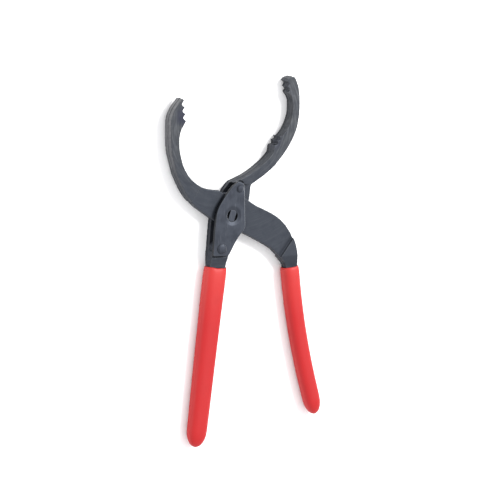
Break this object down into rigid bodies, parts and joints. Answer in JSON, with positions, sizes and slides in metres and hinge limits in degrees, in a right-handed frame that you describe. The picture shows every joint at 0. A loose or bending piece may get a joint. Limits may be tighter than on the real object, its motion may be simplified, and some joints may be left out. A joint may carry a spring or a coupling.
{
  "type": "oil filter wrench",
  "caption": "Adjustable plier wrench for round oil filters, with crossed curved jaws, serrated pads, a riveted slip joint and sleeved handles.",
  "frame": {"origin": "on the pivot's axis, at the flat underside of the frame lever's back wall", "axes": "+Y from the handles towards the jaws, +Z out of the front plate, +X towards the right jaw; the tool lies on its back on the XY plane"},
  "size_m": [0.1442, 0.3014, 0.0173],
  "materials": {
    "black_oxide_steel": "drop-forged, black oxide, satin",
    "pivot_steel": "machined, black oxide, satin",
    "rivet_steel": "headed cold, black oxide, satin",
    "red_vinyl": "dipped soft vinyl, satin gloss"
  },
  "bodies": {
    "frame_half": {"right_jaw_lever": "black_oxide_steel", "front_plate": "black_oxide_steel", "pivot_key": "pivot_steel", "upper_rivet": "rivet_steel", "lower_rivet": "rivet_steel", "left_grip": "red_vinyl"},
    "pivot_turn": {"pivot_washer": "pivot_steel"},
    "moving_half": {"left_jaw_lever": "black_oxide_steel", "right_grip": "red_vinyl"}
  },
  "joints": [
    {"name": "jaw_swing", "type": "hinge", "parent": "frame_half", "child": "pivot_turn", "pos_m": [0, 0, 0.0083], "axis": [0, 0, 1], "range_deg": [-24, 4]},
    {"name": "seat_shift", "type": "slide", "parent": "pivot_turn", "child": "moving_half", "axis": [-0.342, -0.9397, 0], "range_m": [0, 0.0082]}
  ]
}
